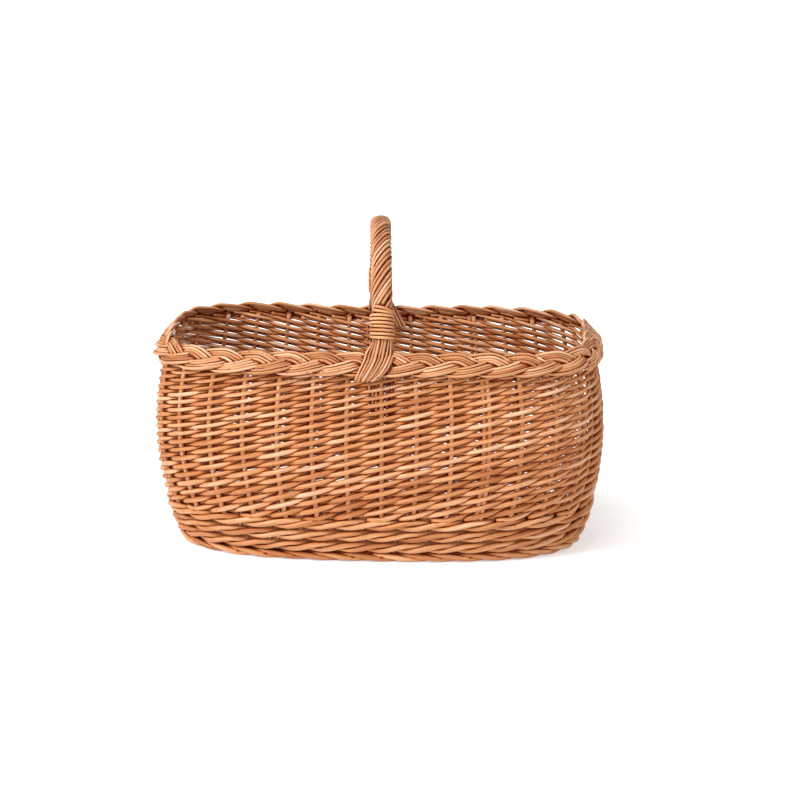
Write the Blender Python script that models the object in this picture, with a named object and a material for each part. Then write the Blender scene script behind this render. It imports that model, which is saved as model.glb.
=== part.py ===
"""Willow gathering basket: a wall woven round upright stakes, a plaited rim and a roped bow handle.

The origin is on the ground under the middle of the basket. X runs along its length, Y from its front to
its back, and Z up. Lengths are in metres. The basket looks the same when it is turned half a turn about Z.
"""

import math
from functools import lru_cache

import bmesh
import bpy
import numpy as np
from mathutils import Vector

# Clearance between pieces that touch, and the share of it within which two corners are one
GAP = 0.0003
MERGE_SHARE = 0.01
SHARP_ANGLE = math.radians(40)

# The wall, measured over its weave: a plan that grows squarer upwards, and sides that bulge outwards
WALL_LENGTH = 0.448
WALL_DEPTH = 0.266
BULGE_HEIGHT = 0.118
BULGE_RADIUS = 0.317
BASE_SQUARENESS = 2.7
RIM_SQUARENESS = 4.2

# The base: rods woven in pairs, one over and one under each long stick, with cross sticks below
BASE_LIFT = 0.0009
BASE_ROD_THICKNESS = 0.003
BASE_POINTS = 36
SWELLING_POINTS = 2
STICK_RADIUS = 0.002
LONG_STICKS = 3
LONG_STICK_SPACING = 0.045
CROSS_STICKS = 3
CROSS_STICK_SPACING = 0.085
STICK_END_MARGIN = 0.003
CROSS_STICK_HEIGHT = BASE_LIFT + STICK_RADIUS
LONG_STICK_HEIGHT = CROSS_STICK_HEIGHT + 2 * STICK_RADIUS + GAP
BASE_HALF_HEIGHT = STICK_RADIUS + GAP + BASE_ROD_THICKNESS

# The foot: a ring of twisted rods round the base, under the wall
FOOT_HEIGHT = 0.010
FOOT_REACH = 0.006
FOOT_SWELL = 0.0012
FOOT_SOLE_SHARE = 0.5
FOOT_WAIST_SHARE = 0.55

# Stakes: the upright rods that everything else is woven round
STAKES = 36
STAKE_RADIUS = 0.0025
STAKE_RINGS = 8
STAKE_PHASE_SHARE = 0.25
STAKE_CLEARANCE = 0.0006

# Rods of the waling and of the side above it, and the stretch at the back where each row steps up
WALE_TOP = 0.0485
WEAVE_TOP = 0.186
WALE_WEAVER_COUNT = 3
WALE_TURNS = 2
WALE_PATTERN = (1, 1, -1)
SIDE_WEAVER_COUNT = 2
SIDE_TURNS = 10
SIDE_PATTERN = (1, -1)
WEAVER_THICKNESS = 0.004
WEAVER_CORNERS = 4
STEP_UP_STAKE = 17
STEP_UP_STAKES = 2
WEAVE_REACH = STAKE_RADIUS + STAKE_CLEARANCE + WEAVER_THICKNESS

# The rim: three strands plaited round the stakes' tops, their band leaning outwards
PLAIT_STRANDS = 3
PLAIT_STAKES = 3
PLAIT_POINTS = 3
PLAIT_LEAN = math.radians(46)
PLAIT_OUT = 0.0045
PLAIT_SEAT = 0.0024
STRAND_WIDTH = 0.0094
STRAND_THICKNESS = 0.0062
STRAND_CORNERS = 6
STRAND_SPACING = 0.0047
CROSSING_CLEARANCE = 0.0028
PLAIT_SWING = (STRAND_WIDTH + STRAND_SPACING) / 1.5
PLAIT_LIFT = (STRAND_THICKNESS + CROSSING_CLEARANCE) / math.sqrt(3)
PLAIT_HEIGHT = WEAVE_TOP + PLAIT_SEAT + (PLAIT_SWING + STRAND_WIDTH / 2) * math.sin(PLAIT_LEAN)

# The handle: a bow whose thin ends stand inside the wall, under a sleeve of laid rods
HANDLE_RISE = 0.1225
BOW_RADIUS = 0.005
BOW_TIP_RADIUS = 0.0025
BOW_TIP_DEPTH = 0.074
BOW_TAPER_START = 0.010
BOW_SAMPLES = 160
BOW_POINTS = 28
BOW_LEG_RINGS = 5
FAN_THICKNESS = 0.0032
NECK_CLEARANCE = 0.0005
ROPE_SWELL = 0.0015
ROPE_FLARE_LENGTH = 0.012
ROPE_FLUTES = 8
ROPE_FLUTE_DEPTH = 0.0012
ROPE_LEAD = 0.120
ROPE_POINTS = 28
ROPE_NECK_RADIUS = BOW_RADIUS + NECK_CLEARANCE + FAN_THICKNESS
ROPE_RADIUS = ROPE_NECK_RADIUS + ROPE_SWELL

# The bindings: a rod wound round each end of the rope
BINDING_START = 0.026
BINDING_TURNS = 7
BINDING_ROD_RADIUS = 0.0013
BINDING_SPACING = 0.00075
BINDING_LOOP_POINTS = 12
BINDING_PITCH = 2 * BINDING_ROD_RADIUS + BINDING_SPACING

# The fans: the rope's rods spread out below each binding, over the rim and down inside it
FAN_RODS = 8
FAN_RIDGE = 0.0008
FAN_HALF_ANGLE = math.radians(84)
FAN_INNER_POINTS = 5
FAN_HALF_WIDTH = 0.0135
FAN_SLANT = -0.014
FAN_CLEARANCE = 0.0020
FAN_OUTER_SPAN = (math.radians(118), math.radians(-20))
FAN_OUTER_STATIONS = 6
FAN_INNER_STATIONS = 4
FAN_CURL_SHARE = 0.6
FAN_CURL_STATIONS_SHARE = 0.33

PLAN_SAMPLES = 720


def clear_scene():
    for old in list(bpy.data.objects):
        bpy.data.objects.remove(old, do_unlink=True)


def willow(name, colour, roughness):
    material = bpy.data.materials.new(name)
    material.use_nodes = True
    shader = material.node_tree.nodes["Principled BSDF"]
    shader.inputs["Base Color"].default_value = (*colour, 1)
    shader.inputs["Roughness"].default_value = roughness
    shader.inputs["Metallic"].default_value = 0
    return material


def linked(name, data, material):
    piece = bpy.data.objects.new(name, data)
    bpy.context.scene.collection.objects.link(piece)
    if material:
        piece.data.materials.append(material)
    return piece


def as_guide(piece):
    """Keeps a cutter or a section out of the finished basket."""
    piece.hide_render = True
    piece.display_type = "WIRE"
    return piece


# The plan of the wall


def stake_line_halves(height):
    """Half the length and half the depth of the line of stakes at this height."""
    drop = (height - BULGE_HEIGHT) ** 2 / (2 * BULGE_RADIUS)
    inset = WEAVE_REACH + drop
    return WALL_LENGTH / 2 - inset, WALL_DEPTH / 2 - inset


@lru_cache(maxsize=None)
def plan_curve(height):
    """The line of stakes at this height: shares of the way round, points and outward normals."""
    half_length, half_depth = stake_line_halves(height)
    squareness = BASE_SQUARENESS + (RIM_SQUARENESS - BASE_SQUARENESS) * height / WEAVE_TOP
    angles = np.linspace(-math.pi / 2, 3 * math.pi / 2, PLAN_SAMPLES + 1)
    across = np.abs(np.cos(angles) / half_length) ** squareness
    along = np.abs(np.sin(angles) / half_depth) ** squareness
    reach = (across + along) ** (-1 / squareness)
    points = np.stack([reach * np.cos(angles), reach * np.sin(angles)], axis=1)
    steps = np.linalg.norm(np.diff(points, axis=0), axis=1)
    shares = np.concatenate([[0], np.cumsum(steps) / steps.sum()])
    tangents = np.gradient(points, axis=0)
    tangents /= np.linalg.norm(tangents, axis=1, keepdims=True)
    return shares, points, np.stack([tangents[:, 1], -tangents[:, 0]], axis=1)


def outward(share, height):
    """The wall's outward direction at a share of the way round from the middle of the front."""
    shares, _, normals = plan_curve(height)
    return Vector([np.interp(share % 1, shares, normals[:, k]) for k in (0, 1)] + [0]).normalized()


def at_wall(share, height, out=0.0):
    """A point that far out from the line of stakes."""
    shares, points, _ = plan_curve(height)
    flat = [np.interp(share % 1, shares, points[:, k]) for k in (0, 1)]
    return Vector(flat + [height]) + outward(share, height) * out


def stake_share(stake):
    return (stake + STAKE_PHASE_SHARE) / STAKES


# Rods


def section(name, half_out, half_up, corners):
    """A guide for the cross-section of a flattened rod, with a corner on each side."""
    curve = bpy.data.curves.new(name, "CURVE")
    spline = curve.splines.new("POLY")
    spline.points.add(corners - 1)
    for corner, point in enumerate(spline.points):
        angle = -2 * math.pi * corner / corners
        point.co = (half_out * math.cos(angle), half_up * math.sin(angle), 0, 1)
    spline.use_cyclic_u = True
    return as_guide(linked(name, curve, None))


def rod(name, path, material, radius=None, shape=None, radii=None, tilts=None, ring=False, resolution=0):
    """A rod along a path, round with this radius or with the shape of a section guide."""
    curve = bpy.data.curves.new(name, "CURVE")
    curve.dimensions = "3D"
    curve.twist_mode = "Z_UP" if shape else "MINIMUM"
    spline = curve.splines.new("POLY")
    spline.points.add(len(path) - 1)
    for index, (point, place) in enumerate(zip(spline.points, path)):
        point.co = (*place, 1)
        point.radius = radii[index] if radii else 1
        point.tilt = tilts[index] if tilts else 0
    spline.use_cyclic_u = ring
    spline.use_smooth = True
    if shape:
        curve.bevel_mode = "OBJECT"
        curve.bevel_object = shape
    else:
        curve.bevel_depth = radius
        curve.bevel_resolution = resolution
    curve.use_fill_caps = True
    return linked(name, curve, material)


def meshed(piece):
    """The same piece as a mesh with its caps joined on, ready for a Boolean."""
    graph = bpy.context.evaluated_depsgraph_get()
    mesh = bpy.data.meshes.new_from_object(piece.evaluated_get(graph))
    name, material = piece.name, piece.active_material
    hidden = piece.hide_render
    bpy.data.objects.remove(piece, do_unlink=True)
    bm = bmesh.new()
    bm.from_mesh(mesh)
    bmesh.ops.remove_doubles(bm, verts=bm.verts, dist=GAP * MERGE_SHARE)
    bmesh.ops.recalc_face_normals(bm, faces=bm.faces)
    bm.to_mesh(mesh)
    bm.free()
    mesh.materials.clear()
    made = linked(name, mesh, material)
    return as_guide(made) if hidden else made


def cut(piece, cutter, operation="DIFFERENCE"):
    modifier = piece.modifiers.new("cut_" + cutter.name, "BOOLEAN")
    modifier.operation = operation
    modifier.solver = "EXACT"
    modifier.object = cutter


def lofted(name, rings, material, closed=False):
    """A solid through rings of points that all run round the same way."""
    bm = bmesh.new()
    loops = [[bm.verts.new(point) for point in ring] for ring in rings]
    count = len(loops)
    for index in range(count if closed else count - 1):
        near, far = loops[index], loops[(index + 1) % count]
        for k in range(len(near)):
            after = (k + 1) % len(near)
            bm.faces.new((near[k], near[after], far[after], far[k]))
    if not closed:
        bm.faces.new(loops[0])
        bm.faces.new(loops[-1])
    bmesh.ops.recalc_face_normals(bm, faces=bm.faces)
    mesh = bpy.data.meshes.new(name)
    bm.to_mesh(mesh)
    bm.free()
    mesh.shade_smooth()
    mesh.set_sharp_from_angle(angle=SHARP_ANGLE)
    return linked(name, mesh, material)


# Stakes and weaving


def stakes(material):
    tilt = (BULGE_HEIGHT - FOOT_HEIGHT) / BULGE_RADIUS
    heights = np.linspace(FOOT_HEIGHT + GAP + STAKE_RADIUS * tilt, WEAVE_TOP, STAKE_RINGS)
    for stake in range(STAKES):
        path = [at_wall(stake_share(stake), height) for height in heights]
        rod(f"stake_{stake + 1:02d}", path, material, radius=STAKE_RADIUS)


def beside_bow(stake, height):
    """Whether one of the bow's two legs stands inside this stake at this height."""
    return stake % (STAKES // 2) == 0 and height > WEAVE_TOP - BOW_TIP_DEPTH - WEAVER_THICKNESS


def weaver_path(strand, strands, pattern, turns, bottom, pitch):
    """One of several rods woven in turn: level rows that step up together at the back."""
    touch = STAKE_RADIUS + STAKE_CLEARANCE + WEAVER_THICKNESS / 2
    past_bow = 2 * (BOW_TIP_RADIUS + STAKE_CLEARANCE)
    path = []
    for step in range(turns * STAKES - STEP_UP_STAKES + 1):
        turn, place = divmod(step, STAKES)
        climb = max(0, place - STAKES + STEP_UP_STAKES) / STEP_UP_STAKES
        height = bottom + (strands * (turn + climb) + strand + 0.5) * pitch
        stake = STEP_UP_STAKE + step
        side = pattern[(stake + strand) % len(pattern)]
        out = touch if side > 0 else -touch
        if side < 0 and beside_bow(stake, height):
            out -= past_bow
        path.append(at_wall(stake_share(stake), height, out))
    return path


def weaving(name, strands, pattern, turns, bottom, top, material):
    pitch = (top - bottom) / (strands * turns)
    run = STEP_UP_STAKES * 2 * sum(stake_line_halves(bottom)) / STAKES
    slope = math.atan2(strands * pitch, run)
    height = pitch * math.cos(slope) - GAP
    shape = section(name + "_section", WEAVER_THICKNESS / 2, height / 2, WEAVER_CORNERS)
    for strand in range(strands):
        path = weaver_path(strand, strands, pattern, turns, bottom, pitch)
        rod(f"{name}_{strand + 1}", path, material, shape=shape)


# The plaited rim


def plait_point(share, sideways, lift):
    """A point in the plait's leaning band: sideways down its outer face, and lifted off that face."""
    out = PLAIT_OUT + sideways * math.cos(PLAIT_LEAN) + lift * math.sin(PLAIT_LEAN)
    height = PLAIT_HEIGHT - sideways * math.sin(PLAIT_LEAN) + lift * math.cos(PLAIT_LEAN)
    return at_wall(share, PLAIT_HEIGHT, out) + Vector((0, 0, height - PLAIT_HEIGHT))


def plait(material, bow_cutter):
    shape = section("strand_section", STRAND_WIDTH / 2, STRAND_THICKNESS / 2, STRAND_CORNERS)
    count = STAKES * PLAIT_POINTS
    for strand in range(PLAIT_STRANDS):
        path = []
        for step in range(count):
            phase = 2 * math.pi * (step / (PLAIT_POINTS * PLAIT_STAKES) + strand / PLAIT_STRANDS)
            share = stake_share(step / PLAIT_POINTS)
            path.append(plait_point(share, PLAIT_SWING * math.sin(phase), -PLAIT_LIFT * math.sin(2 * phase)))
        tilts = [PLAIT_LEAN] * count
        piece = meshed(rod(f"plait_strand_{strand + 1}", path, material, shape=shape, tilts=tilts, ring=True))
        cut(piece, bow_cutter)


# The foot and the base


def foot(material):
    """A ring that stands flat on the ground, swells at every stake and holds the base by its edge."""
    sole = FOOT_REACH * FOOT_SOLE_SHARE
    waist = FOOT_HEIGHT * FOOT_WAIST_SHARE
    rings = []
    for step in range(2 * STAKES):
        share = stake_share(step / 2)
        widest = FOOT_REACH + (FOOT_SWELL if step % 2 else 0)
        outline = ((-sole, 0), (sole, 0), (widest, waist), (sole, FOOT_HEIGHT), (-WEAVE_REACH, waist))
        middle = at_wall(share, FOOT_HEIGHT)
        middle.z = 0
        rings.append([middle + outward(share, FOOT_HEIGHT) * out + Vector((0, 0, up)) for out, up in outline])
    return lofted("foot_ring", rings, material, closed=True)


def beside_middle(place, places, spacing):
    """How far to the side of the middle one of several evenly spaced places lies."""
    return (place - (places - 1) / 2) * spacing


def pairing():
    """A guide for the base weave: thick round each long stick, and one rod thick between them."""
    points = LONG_STICKS * SWELLING_POINTS + 1
    first = beside_middle(0, LONG_STICKS, LONG_STICK_SPACING)
    thin = BASE_ROD_THICKNESS / 2
    surface = [(-WALL_DEPTH / 2, thin)]
    for k in range(points):
        side = beside_middle(k, points, LONG_STICK_SPACING / SWELLING_POINTS)
        swelling = math.cos(math.pi * (side - first) / LONG_STICK_SPACING) ** 2
        surface.append((side, thin + (BASE_HALF_HEIGHT - thin) * swelling))
    surface.append((WALL_DEPTH / 2, thin))
    outline = surface + [(side, -half) for side, half in reversed(surface)]
    rings = []
    for x in (-WALL_LENGTH / 2, WALL_LENGTH / 2):
        rings.append([Vector((x, side, LONG_STICK_HEIGHT + up)) for side, up in outline])
    return as_guide(lofted("pairing", rings, None))


def base(weave_material, stick_material):
    """An oval cut from the pairing, with a tunnel for each long stick and notches for the cross sticks."""
    inset = -WEAVE_REACH - GAP
    outline = [at_wall(k / BASE_POINTS, FOOT_HEIGHT, inset) for k in range(BASE_POINTS)]
    rings = []
    for up in (-BASE_HALF_HEIGHT - GAP, BASE_HALF_HEIGHT + GAP):
        rings.append([Vector((point.x, point.y, LONG_STICK_HEIGHT + up)) for point in outline])
    plate = lofted("base_weave", rings, weave_material)
    cut(plate, pairing(), "INTERSECT")
    half_length, half_depth = (half + inset - STICK_END_MARGIN for half in stake_line_halves(FOOT_HEIGHT))
    for k in range(LONG_STICKS):
        y = beside_middle(k, LONG_STICKS, LONG_STICK_SPACING)
        half = half_length * (1 - abs(y / half_depth) ** BASE_SQUARENESS) ** (1 / BASE_SQUARENESS)
        middle = Vector((0, y, LONG_STICK_HEIGHT))
        stick(f"base_long_stick_{k + 1}", Vector((half, 0, 0)), middle, plate, stick_material)
    for k in range(CROSS_STICKS):
        x = beside_middle(k, CROSS_STICKS, CROSS_STICK_SPACING)
        half = half_depth * (1 - abs(x / half_length) ** BASE_SQUARENESS) ** (1 / BASE_SQUARENESS)
        middle = Vector((x, 0, CROSS_STICK_HEIGHT))
        stick(f"base_cross_stick_{k + 1}", Vector((0, half, 0)), middle, plate, stick_material)


def stick(name, reach, middle, plate, material):
    """A stick through the base weave, in a hole with clearance that is open at both ends."""
    rod(name, [middle - reach, middle + reach], material, radius=STICK_RADIUS, resolution=1)
    past = reach.normalized() * WALL_LENGTH / 2
    hole = rod(name + "_hole", [middle - past, middle + past], None, radius=STICK_RADIUS + GAP, resolution=1)
    cut(plate, meshed(as_guide(hole)))


# The handle


class Path:
    """A smooth route read by its length."""

    def __init__(self, points):
        self.points = np.array([tuple(point) for point in points])
        steps = np.linalg.norm(np.diff(self.points, axis=0), axis=1)
        self.lengths = np.concatenate([[0], np.cumsum(steps)])
        self.length = self.lengths[-1]

    def at(self, distance):
        return Vector([np.interp(distance, self.lengths, self.points[:, k]) for k in range(3)])

    def towards(self, distance):
        step = self.length / len(self.lengths)
        return (self.at(min(distance + step, self.length)) - self.at(max(distance - step, 0))).normalized()


def bow_arch():
    """The bow above the rim, from its front foot over to its back foot."""
    inset = STAKE_RADIUS + STAKE_CLEARANCE + BOW_TIP_RADIUS
    foot_point = at_wall(stake_share(0), PLAIT_HEIGHT, -inset)
    rise = HANDLE_RISE - ROPE_RADIUS
    points = []
    for step in range(BOW_SAMPLES + 1):
        angle = math.pi * step / BOW_SAMPLES
        flat = foot_point * math.cos(angle)
        points.append(Vector((flat.x, flat.y, PLAIT_HEIGHT + rise * math.sin(angle))))
    return Path(points)


def bow_radius_at(distance, length):
    """Thin in the wall and the plait, full under the rope."""
    above = min(distance, length - distance) - BOW_TAPER_START
    share = min(max(above / (BINDING_START - GAP - BOW_TAPER_START), 0), 1)
    return BOW_TIP_RADIUS + (BOW_RADIUS - BOW_TIP_RADIUS) * share


def bow_rod(name, arch, spare, material):
    inset = STAKE_RADIUS + STAKE_CLEARANCE + BOW_TIP_RADIUS
    leg_heights = np.linspace(WEAVE_TOP - BOW_TIP_DEPTH, PLAIT_HEIGHT, BOW_LEG_RINGS)[:-1]
    front = [at_wall(stake_share(0), height, -inset) for height in leg_heights]
    back = [at_wall(stake_share(STAKES // 2), height, -inset) for height in reversed(leg_heights)]
    marks = [BOW_TAPER_START, BINDING_START - GAP]
    marks += list(np.linspace(0, arch.length, BOW_POINTS))
    marks += [arch.length - mark for mark in marks[:2]]
    marks = sorted(marks)
    path = front + [arch.at(mark) for mark in marks] + back
    thin = [BOW_TIP_RADIUS] * len(front)
    thickness = thin + [bow_radius_at(mark, arch.length) for mark in marks] + thin
    radii = [(value + spare) / BOW_RADIUS for value in thickness]
    return rod(name, path, material, radius=BOW_RADIUS, radii=radii, resolution=2)


def across_path(path, distance):
    """Two directions square to the path: out of its plane, and outwards in it."""
    towards = path.towards(distance)
    side = Vector((0, 0, 1)).cross(Vector((path.points[0][0], path.points[0][1], 0))).normalized()
    return side, side.cross(towards).normalized()


def rope(arch, cutter, material):
    """The rods laid round the bow: a fluted sleeve whose flutes wind along it."""
    rings = []
    span = arch.length - 2 * BINDING_START
    for station in range(ROPE_POINTS + 1):
        along = span * station / ROPE_POINTS
        past_binding = min(along, span - along) - BINDING_TURNS * BINDING_PITCH - 2 * BINDING_ROD_RADIUS
        flare = min(max(past_binding / ROPE_FLARE_LENGTH, 0), 1)
        radius = ROPE_NECK_RADIUS + (ROPE_RADIUS - ROPE_NECK_RADIUS) * flare
        side, out = across_path(arch, BINDING_START + along)
        middle = arch.at(BINDING_START + along)
        ring = []
        for k in range(2 * ROPE_FLUTES):
            angle = math.pi * k / ROPE_FLUTES - 2 * math.pi * along / ROPE_LEAD
            reach = radius - (ROPE_FLUTE_DEPTH if k % 2 else 0)
            ring.append(middle + (side * math.cos(angle) + out * math.sin(angle)) * reach)
        rings.append(ring)
    sleeve = lofted("handle_rope", rings, material)
    cut(sleeve, cutter)
    return sleeve


def least_gap(path, radius):
    """The least gap between one loop of a wound rod and the next, measured on the points of its path."""
    points = np.array([tuple(point) for point in path])
    apart = np.linalg.norm(points[:, None] - points[None, :], axis=2)
    steps = np.abs(np.subtract.outer(np.arange(len(path)), np.arange(len(path))))
    return apart[steps > BINDING_LOOP_POINTS / 2].min() - 2 * radius


def binding(arch, material):
    """One rod wound in close turns round the rope's neck, with straight ends as long as it is thick."""
    reach = ROPE_NECK_RADIUS + GAP + BINDING_ROD_RADIUS
    path = []
    for step in range(BINDING_TURNS * BINDING_LOOP_POINTS + 1):
        turn = step / BINDING_LOOP_POINTS
        distance = BINDING_START + BINDING_ROD_RADIUS + BINDING_PITCH * turn
        side, out = across_path(arch, distance)
        angle = 2 * math.pi * turn
        path.append(arch.at(distance) + (side * math.cos(angle) + out * math.sin(angle)) * reach)
    _, out = across_path(arch, BINDING_START)
    path.insert(0, path[0] - out * 2 * BINDING_ROD_RADIUS)
    _, out = across_path(arch, distance)
    path.append(path[-1] + out * 2 * BINDING_ROD_RADIUS)
    print(f"binding: least gap between loops {least_gap(path, BINDING_ROD_RADIUS) * 1000:.2f} mm")
    front = rod("binding_front", path, material, radius=BINDING_ROD_RADIUS, resolution=1)
    turned_copy(front, "binding_back")


def turned_copy(piece, name):
    """The same piece at the back of the basket."""
    copy = linked(name, piece.data, None)
    copy.rotation_euler.z = math.pi
    return copy


def fan_section(middle, side, out, curl, width):
    """Ridged on its outer face, where each ridge is a rod; curled round the bow or laid flat."""
    radius = ROPE_NECK_RADIUS - FAN_THICKNESS / 2

    def spot(across, lift):
        angle = across * FAN_HALF_ANGLE
        reach = radius + lift
        sideways = curl * reach * math.sin(angle) + (1 - curl) * across * width
        up = curl * (reach * math.cos(angle) - radius) + (1 - curl) * lift
        return middle + side * sideways + out * up

    ring = []
    for k in range(2 * FAN_RODS + 1):
        ridge = 0 if k % 2 else -FAN_RIDGE
        ring.append(spot(k / FAN_RODS - 1, FAN_THICKNESS / 2 + ridge))
    for k in range(FAN_INNER_POINTS):
        ring.append(spot(1 - 2 * k / (FAN_INNER_POINTS - 1), -FAN_THICKNESS / 2))
    return ring


def fans(arch, material):
    top_distance = BINDING_START - GAP
    side, out = across_path(arch, top_distance)
    axis = arch.at(top_distance)
    neck = ROPE_NECK_RADIUS - FAN_THICKNESS / 2
    foot_point = at_wall(stake_share(0), PLAIT_HEIGHT)
    level_out = Vector((foot_point.x, foot_point.y, 0)).normalized()

    outer = [fan_section(axis + out * neck, side, out, 1, neck)]
    off_plait = FAN_CLEARANCE + FAN_THICKNESS / 2
    band_half = PLAIT_SWING + STRAND_WIDTH / 2 + off_plait
    band_thick = PLAIT_LIFT + STRAND_THICKNESS / 2 + off_plait
    start, end = FAN_OUTER_SPAN
    for station in range(FAN_OUTER_STATIONS):
        share = station / (FAN_OUTER_STATIONS - 1)
        angle = start + (end - start) * share
        sideways, lift = band_half * math.cos(angle), band_thick * math.sin(angle)
        middle = plait_point(stake_share(0), sideways, lift)
        leaning = Vector((math.cos(angle) / band_half, math.sin(angle) / band_thick)).normalized()
        facing = level_out * (leaning.x * math.cos(PLAIT_LEAN) + leaning.y * math.sin(PLAIT_LEAN))
        facing.z = leaning.y * math.cos(PLAIT_LEAN) - leaning.x * math.sin(PLAIT_LEAN)
        middle += side * FAN_SLANT * share**2
        width = neck + (FAN_HALF_WIDTH - neck) * share
        curl = FAN_CURL_SHARE * max(0, 1 - share / FAN_CURL_STATIONS_SHARE)
        outer.append(fan_section(middle, side, facing, curl, width))
    front = lofted("outer_fan_front", outer, material)
    turned_copy(front, "outer_fan_back")

    inner = [fan_section(axis - out * neck, side, -out, 1, neck)]
    first = axis - out * neck
    past_leg = STAKE_RADIUS + STAKE_CLEARANCE + 2 * BOW_TIP_RADIUS + FAN_CLEARANCE + FAN_THICKNESS / 2
    last = at_wall(stake_share(0), WEAVE_TOP + FAN_THICKNESS, -past_leg)
    for station in range(1, FAN_INNER_STATIONS):
        share = station / (FAN_INNER_STATIONS - 1)
        middle = first.lerp(last, share) + side * FAN_SLANT * share**2
        width = neck + (FAN_HALF_WIDTH - neck) * share
        inner.append(fan_section(middle, side, -level_out, (1 - share) ** 2, width))
    front = lofted("inner_fan_front", inner, material)
    turned_copy(front, "inner_fan_back")


def handle(bow_material, rope_material, binding_material):
    arch = bow_arch()
    bow_rod("bow", arch, 0, bow_material)
    cutter = meshed(as_guide(bow_rod("bow_clearance", arch, GAP, None)))
    rope(arch, cutter, rope_material)
    binding(arch, binding_material)
    fans(arch, rope_material)
    return cutter


def basket():
    clear_scene()
    stake_willow = willow("stake_willow", (0.50, 0.21, 0.09), 0.55)
    side_willow = willow("side_willow", (0.56, 0.25, 0.12), 0.5)
    wale_willow = willow("wale_willow", (0.54, 0.23, 0.10), 0.5)
    plait_willow = willow("plait_willow", (0.58, 0.27, 0.12), 0.48)
    foot_willow = willow("foot_willow", (0.50, 0.21, 0.10), 0.55)
    base_willow = willow("base_willow", (0.45, 0.19, 0.08), 0.6)
    handle_willow = willow("handle_willow", (0.60, 0.29, 0.15), 0.48)
    binding_willow = willow("binding_willow", (0.62, 0.31, 0.14), 0.45)
    stakes(stake_willow)
    weaving("wale", WALE_WEAVER_COUNT, WALE_PATTERN, WALE_TURNS, FOOT_HEIGHT + GAP, WALE_TOP, wale_willow)
    weaving("side_weaver", SIDE_WEAVER_COUNT, SIDE_PATTERN, SIDE_TURNS, WALE_TOP, WEAVE_TOP, side_willow)
    foot(foot_willow)
    base(base_willow, stake_willow)
    cutter = handle(stake_willow, handle_willow, binding_willow)
    plait(plait_willow, cutter)


basket()
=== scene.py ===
import math
import random
from functools import lru_cache

import bmesh
import bpy
import numpy as np
from mathutils import Matrix, Vector, noise
from mathutils.bvhtree import BVHTree


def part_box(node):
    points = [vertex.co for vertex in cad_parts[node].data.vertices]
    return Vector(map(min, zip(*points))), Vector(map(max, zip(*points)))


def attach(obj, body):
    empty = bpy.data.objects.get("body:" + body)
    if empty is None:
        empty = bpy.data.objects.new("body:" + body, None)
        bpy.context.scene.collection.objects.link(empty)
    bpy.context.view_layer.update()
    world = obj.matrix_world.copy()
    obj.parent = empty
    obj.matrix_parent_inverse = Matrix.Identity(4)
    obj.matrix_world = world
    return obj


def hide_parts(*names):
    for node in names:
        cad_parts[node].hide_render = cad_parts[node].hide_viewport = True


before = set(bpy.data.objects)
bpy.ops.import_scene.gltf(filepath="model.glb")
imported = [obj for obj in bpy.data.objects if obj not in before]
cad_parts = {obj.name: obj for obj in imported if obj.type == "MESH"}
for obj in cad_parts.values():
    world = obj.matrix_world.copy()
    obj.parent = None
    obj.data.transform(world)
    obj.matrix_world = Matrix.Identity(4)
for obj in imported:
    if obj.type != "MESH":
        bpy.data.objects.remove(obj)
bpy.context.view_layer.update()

# Camera. A long lens stands 2.3 m away, a little above the rim and a few degrees to the right,
# and looks at the middle of the basket, which the photograph holds a little left of its centre.
CAMERA_DISTANCE = 2.3
CAMERA_RISE = math.radians(13.2)
CAMERA_TURN = math.radians(3.5)
CAMERA_AIM = Vector((0, 0, 0.150))
SENSOR_MILLIMETRES = 36
MILLIMETRES_PER_METRE = 1000
MILLIMETRES_PER_PIXEL = 1.0
PHOTO_SIZE = 800
PHOTO_AIM_PIXEL = (380.8, 386.0)

lens = bpy.data.cameras.new("camera")
lens.sensor_width = SENSOR_MILLIMETRES
photo_width = PHOTO_SIZE * MILLIMETRES_PER_PIXEL
lens.lens = lens.sensor_width * CAMERA_DISTANCE * MILLIMETRES_PER_METRE / photo_width
lens.shift_x = 0.5 - PHOTO_AIM_PIXEL[0] / PHOTO_SIZE
lens.shift_y = PHOTO_AIM_PIXEL[1] / PHOTO_SIZE - 0.5
camera = bpy.data.objects.new("camera", lens)
bpy.context.scene.collection.objects.link(camera)
reach = Vector((math.sin(CAMERA_TURN), -math.cos(CAMERA_TURN), 0)) * math.cos(CAMERA_RISE)
reach.z = math.sin(CAMERA_RISE)
camera.location = CAMERA_AIM + reach * CAMERA_DISTANCE
camera.rotation_euler = (-reach).to_track_quat("-Z", "Y").to_euler()
bpy.context.scene.camera = camera

# Floor and light. The basket stands on a plain pale floor between three broad soft lights: the
# strongest at its left, the next above it and in front, and the weakest at its right. The floor
# is seen as white, but keeps the basket's shadow.
FLOOR_SIZE = 12.0
FLOOR_GLOW = (0.45, 1.0)
FLOOR_GLOW_FROM = (0.5, 1.4)
WORLD_LEVEL = 0.40
LIGHTS = {
    "light_left": {"place": (-2.0, -1.5, 1.5), "size": 0.9, "watts": 55},
    "light_above": {"place": (-0.3, -0.7, 2.4), "size": 1.2, "watts": 28},
    "light_right": {"place": (1.7, -2.0, 1.0), "size": 1.0, "watts": 15},
}

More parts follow.
